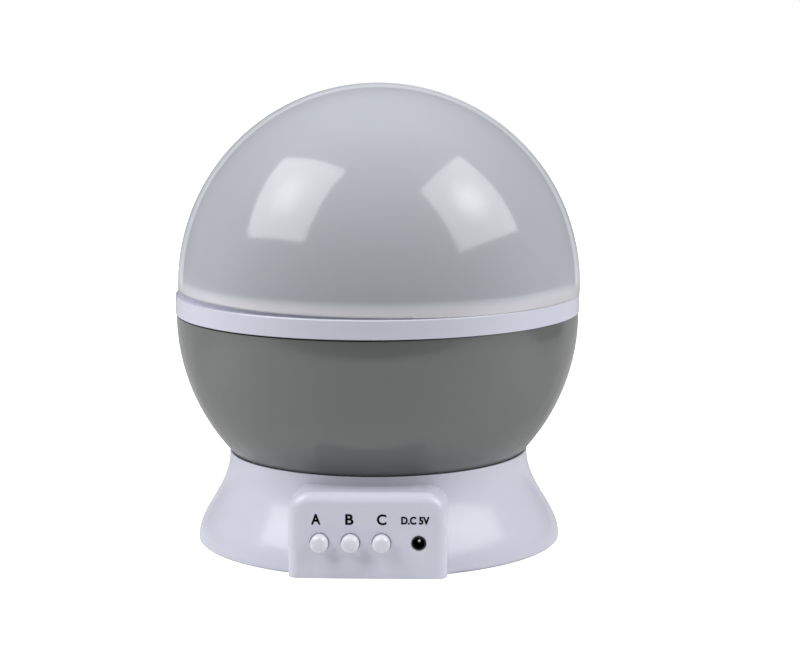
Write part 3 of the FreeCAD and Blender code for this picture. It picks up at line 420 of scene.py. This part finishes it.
def bowl_rim():
    """The height and the radius of the outer edge at the top of the bowl's wall."""
    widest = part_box("lower_bowl")[1].x
    wall = [vert.co for vert in frame["nodes"]["lower_bowl"].data.vertices
            if vert.co.xy.length > widest - BOWL_WALL / 2]
    top = max(point.z for point in wall)
    return top, max(point.xy.length for point in wall if top - point.z < SAME_HEIGHT)


def make_seam(finishes):
    """The ring with its band trimmed, the bowl's lip that rises to it, and between them a black
    band that is painted shade in the seam.
    """
    top, radius = bowl_rim()

    bm = bmesh.new()
    bm.from_mesh(frame["nodes"]["middle_ring"].data)
    bmesh.ops.remove_doubles(bm, verts=bm.verts, dist=MERGE_REACH)
    lower_edge = [vert for vert in bm.verts if abs(vert.co.z - top - SEAM_GAP) < SAME_EDGE]
    bmesh.ops.translate(bm, verts=lower_edge, vec=(0, 0, RING_TRIM))
    band = finish_mesh("ring_band", bm, finishes["white_ring"], "globe")
    keep_flats(band)
    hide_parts("middle_ring")

    # A black band in the seam between bowl and ring: painted shade, darkest on the left
    bm = washer(radius - BOWL_WALL, radius - SHADE_BAND_INSET, SHADE_BAND_ASIDE,
                SEAM_GAP + RING_TRIM, top)
    keep_edges(finish_mesh("seam_shade_band", bm, finishes["black_parts"], "globe"))

    bm = washer(radius - LIP_THICKNESS, radius, 0, SEAM_GAP + RING_TRIM, top)
    rise = math.radians(LIP_RISE_ANGLE)
    opened = cut(bm, (0, 0, top), (-math.sin(rise), 0, math.cos(rise)), clear_outer=True)
    bmesh.ops.holes_fill(bm, edges=opened)
    bmesh.ops.recalc_face_normals(bm, faces=bm.faces)
    keep_edges(finish_mesh("bowl_lip", bm, finishes["grey_bowl"], "globe"))


# ---- Control box -------------------------------------------------------------------------------

def make_socket_nose(finishes):
    """The front end of the power socket, which fills its hole as far as the face of the box."""
    middle = middle_of("dc_jack_pin")
    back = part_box("dc_jack")[0].y
    bm = bmesh.new()
    corners = [bm.verts.new((radius, y, 0)) for radius, y in (
        (NOSE_BORE, back), (NOSE_BORE, panel_y), (NOSE_RADIUS, panel_y), (NOSE_RADIUS, back))]
    sides = [bm.edges.new(pair) for pair in zip(corners, corners[1:] + corners[:1])]
    bmesh.ops.spin(bm, geom=corners + sides, cent=(0, 0, 0), axis=(0, 1, 0), angle=math.tau,
                   steps=NOSE_SEGMENTS, use_merge=True)
    bmesh.ops.recalc_face_normals(bm, faces=bm.faces)
    bmesh.ops.translate(bm, verts=bm.verts, vec=(middle.x, 0, middle.z))
    keep_edges(finish_mesh("socket_nose", bm, finishes["black_parts"], "base"))


def print_text(name, words, size, stroke, middle, finishes):
    """Flat bold lettering on the front face, given by its width and height and its middle."""
    curve = bpy.data.curves.new(name, "FONT")
    curve.body = words
    curve.size = 1.0
    curve.offset = stroke
    text = new_object(name, curve)
    graph = bpy.context.evaluated_depsgraph_get()
    mesh = bpy.data.meshes.new_from_object(text.evaluated_get(graph))
    bpy.data.objects.remove(text)
    bm = bmesh.new()
    bm.from_mesh(mesh)
    spots = [vert.co for vert in bm.verts]
    low, high = (Vector((end(spot.x for spot in spots), end(spot.y for spot in spots), 0))
                 for end in (min, max))
    bmesh.ops.translate(bm, verts=bm.verts, vec=-(low + high) / 2)
    bmesh.ops.scale(bm, verts=bm.verts,
                    vec=(size[0] / (high.x - low.x), size[1] / (high.y - low.y), 1))
    first = bm.verts[:]
    second = verts_of(bmesh.ops.duplicate(bm, geom=first + bm.edges[:] + bm.faces[:]))
    for verts, aside in ((first, -PRINT_BOLD), (second, PRINT_BOLD)):
        bmesh.ops.translate(bm, verts=verts, vec=(aside, 0, 0))
    bmesh.ops.rotate(bm, verts=bm.verts, matrix=Matrix.Rotation(math.radians(90), 3, "X"))
    bmesh.ops.translate(bm, verts=bm.verts, vec=(middle[0], panel_y - PRINT_THICKNESS, middle[1]))
    finish_mesh(name, bm, finishes["print_ink"], "base")


def make_print(finishes):
    """A letter over each button and the supply voltage over the socket."""
    for mark, width, aside in LETTERS:
        button = middle_of("button_cap_" + mark)
        print_text("print_" + mark, mark.upper(), (width, LETTER_HEIGHT), LETTER_STROKE,
                   (button.x + aside, button.z + LETTER_RISE), finishes)
    socket = middle_of("dc_jack_pin")
    print_text("print_voltage", "D.C 5V", VOLTAGE_SIZE, VOLTAGE_STROKE,
               (socket.x + VOLTAGE_ASIDE, socket.z + VOLTAGE_RISE), finishes)


# ---- Studio ------------------------------------------------------------------------------------

BEHIND_MILKY = 0.60           # the white behind as it comes through the milky dome

# The room, as gloss mirrors it. Fades in the room go by direction: 1 is straight back or up.
ROOM_DARK = 0.06              # in front, where the studio isn't lit
ROOM_DIM = 0.12               # at the sides
ROOM_ABOVE = 0.50
FRONT_TO_SIDES = (-0.80, -0.25)
BACKDROP = (0.985, 0.998)     # a white spot straight behind
CEILING = (0.35, 0.95)
FILL = 0.28                   # light from all round
FILL_FRONT = 0.12             # and from the front, where there is less
FILL_FADE = (-0.9, 0.1)

# The table, as gloss mirrors it, in metres from the axis.
TABLE_NEAR = 1.00             # how white it is
TABLE_FAR = 0.25              # and far off
TABLE_BEHIND = 0.50           # and behind the object
TABLE_FADE = (0.30, 0.60)
TABLE_BACK = (-0.05, 0.10)
TABLE_FRONT = (-0.282, -0.25)           # its front edge, which is out of focus
SHADE_PLACE = (0.46, 0.16, 0)           # something dark on its right, seen in the bowl
SHADE_REACH = (0.135, 0.17)

FLOOR_RADIUS = 6.0
FLOOR_OPENING = 0.055         # radius of the opening under the base
FLOOR_SEGMENTS = 96
FLOOR_TONE = 0.81             # how pale the table is
FLOOR_FRONT = 0.38            # and the floor in front of it
FLOOR_FADE = (-0.21, -0.165)  # where that changes

BULB_PLACE = (0.52, 0.52, 0)  # on a softbox's cloth, which goes from 0 to 1 each way
BULB_REACH = 0.36
CLOTH_TONE = 0.88             # the cloth's brightness away from the bulb
SOFTBOXES = (                 # name, centre, side, up, size, watts, brightness at the bulb
    ("left_softbox", (-0.725, -0.245, 0.814), (0.688, -0.724, 0.051), (0.511, 0.532, 0.675),
     (0.772, 0.797), 12.2, 1.5),
    ("right_softbox", (0.736, -0.224, 0.809), (0.426, -0.129, -0.896), (0.241, 0.970, -0.025),
     (0.775, 0.780), 10.4, 1.87),
)


def sort_rays(tree):
    """Whether a ray is the eye's, how white it finds the background, and whether it is mirrored."""
    path = tree.add("ShaderNodeLightPath").outputs
    eye = tree.math("MAXIMUM", path["Is Camera Ray"], path["Is Transmission Ray"])
    clearness = tree.fade(path["Transparent Depth"], 0.0, 1.0, 1.0, BEHIND_MILKY)
    return eye, tree.math("MULTIPLY", eye, clearness), path["Is Glossy Ray"]


def make_world():
    """White where it is seen, dim with an unlit front where it is mirrored, and a soft fill."""
    world = bpy.data.worlds.new("studio")
    bpy.context.scene.world = world
    world.use_nodes = True
    world.node_tree.nodes.clear()
    tree = Tree(world.node_tree)
    eye, seen, gloss = sort_rays(tree)
    direction = tree.add("ShaderNodeTexCoord").outputs["Generated"]
    way = tree.add("ShaderNodeSeparateXYZ", {"Vector": direction}).outputs
    room = tree.choose(tree.fade(way["Y"], *BACKDROP),
                       tree.fade(way["Y"], *FRONT_TO_SIDES, ROOM_DARK, ROOM_DIM), 1.0)
    room = tree.choose(tree.fade(way["Z"], *CEILING), room, ROOM_ABOVE)
    fill = tree.fade(way["Y"], *FILL_FADE, FILL_FRONT, FILL)
    light = tree.choose(eye, tree.choose(gloss, fill, room), seen)
    white = tree.add("ShaderNodeBackground", {"Color": (1, 1, 1, 1), "Strength": light})
    tree.add("ShaderNodeOutputWorld", {"Surface": white.outputs[0]})


def floor_material():
    """A pale table, white where it is seen, that keeps the object's shadow.

    It fades out of reflections, and it is clear from below, so the underside can be looked at.
    """
    material, tree, surface = new_material("floor_white")
    _, seen, gloss = sort_rays(tree)
    place = tree.add("ShaderNodeTexCoord").outputs["Object"]
    depth = tree.add("ShaderNodeSeparateXYZ", {"Vector": place}).outputs["Y"]
    far = tree.measure("LENGTH", place)
    table = tree.choose(tree.fade(depth, *TABLE_BACK),
                        tree.fade(far, *TABLE_FADE, TABLE_NEAR, TABLE_FAR), TABLE_BEHIND)
    lit = tree.math("MULTIPLY", tree.fade(depth, *TABLE_FRONT),
                    tree.fade(tree.measure("DISTANCE", place, SHADE_PLACE), *SHADE_REACH))
    tone = tree.choose(gloss, tree.fade(depth, *FLOOR_FADE, FLOOR_FRONT, FLOOR_TONE),
                       tree.choose(lit, ROOM_DARK, table))
    matt = tree.add("ShaderNodeBsdfDiffuse", {"Color": tone})
    glow = tree.add("ShaderNodeEmission", {"Strength": seen})
    both = tree.add("ShaderNodeAddShader", {0: matt.outputs[0], 1: glow.outputs[0]})
    below = tree.add("ShaderNodeNewGeometry").outputs["Backfacing"]
    clear = tree.add("ShaderNodeBsdfTransparent")
    either = tree.add("ShaderNodeMixShader",
                      {0: below, 1: both.outputs[0], 2: clear.outputs[0]})
    tree.join(either.outputs[0], surface)
    return material


def make_floor():
    """The floor, open under the base."""
    bm = flat_ring(FLOOR_OPENING, FLOOR_RADIUS, FLOOR_SEGMENTS)
    bmesh.ops.recalc_face_normals(bm, faces=bm.faces[:])
    if bm.faces[:][0].normal.z < 0:
        bmesh.ops.reverse_faces(bm, faces=bm.faces[:])
    mesh = bpy.data.meshes.new("floor")
    bm.to_mesh(mesh)
    bm.free()
    mesh.materials.append(floor_material())
    new_object("floor", mesh)


def make_softbox(name, centre, side, up, size, power, peak):
    """A rectangular lamp, brighter in the middle of its cloth, where the bulb is."""
    data = bpy.data.lights.new(name, "AREA")
    data.shape = "RECTANGLE"
    data.size, data.size_y = size
    data.energy = power
    data.use_nodes = True
    tree = Tree(data.node_tree)
    cloth = tree.add("ShaderNodeNewGeometry").outputs["Parametric"]
    glow = tree.fade(tree.measure("DISTANCE", cloth, BULB_PLACE), 0.0, BULB_REACH, peak, CLOTH_TONE)
    tree.join(glow, data.node_tree.nodes["Emission"].inputs["Strength"])
    side = Vector(side).normalized()
    back = side.cross(Vector(up)).normalized()
    turn = Matrix((side, back.cross(side), back)).transposed()
    lamp = new_object(name, data)
    lamp.matrix_world = Matrix.Translation(centre) @ turn.to_4x4()


# ---- Everything --------------------------------------------------------------------------------

make_camera()
finishes = make_finishes()
dress_nodes(finishes)
make_dome(finishes)
make_seam(finishes)
make_socket_nose(finishes)
make_print(finishes)
make_world()
make_floor()
for softbox in SOFTBOXES:
    make_softbox(*softbox)
bpy.context.scene.view_settings.view_transform = "Standard"
